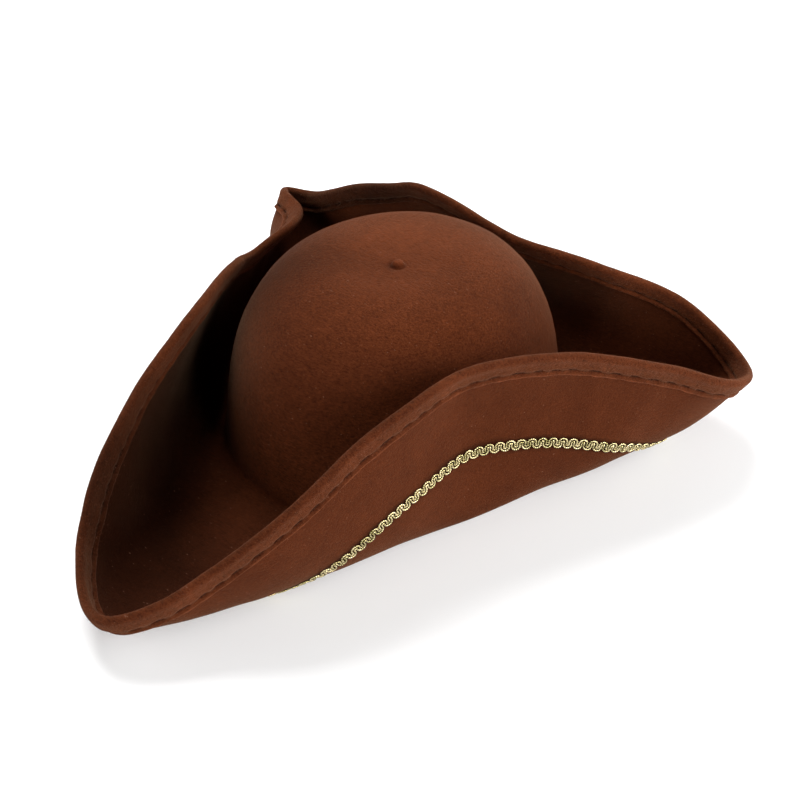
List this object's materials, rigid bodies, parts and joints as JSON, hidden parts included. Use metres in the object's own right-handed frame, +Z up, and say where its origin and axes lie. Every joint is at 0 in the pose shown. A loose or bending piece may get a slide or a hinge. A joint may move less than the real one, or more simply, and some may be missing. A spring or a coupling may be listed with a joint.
{
  "type": "tricorn hat",
  "caption": "Three-cornered felt hat lying on its brim: low round crown, three turned-up flaps, stitched felt edge binding and wavy gold braid on the outside of the flaps.",
  "frame": {"origin": "on the table, under the middle of the hat's outline seen from above", "axes": "+Z up, -Y towards the front corner"},
  "size_m": [0.3416, 0.365, 0.1084],
  "materials": {
    "felt": "matte wool felt",
    "binding": "matte wool felt",
    "gold_braid": "metallic thread"
  },
  "bodies": {
    "root": {"felt_body": "felt", "brim_binding": "binding", "gold_braid": "gold_braid"}
  },
  "joints": []
}
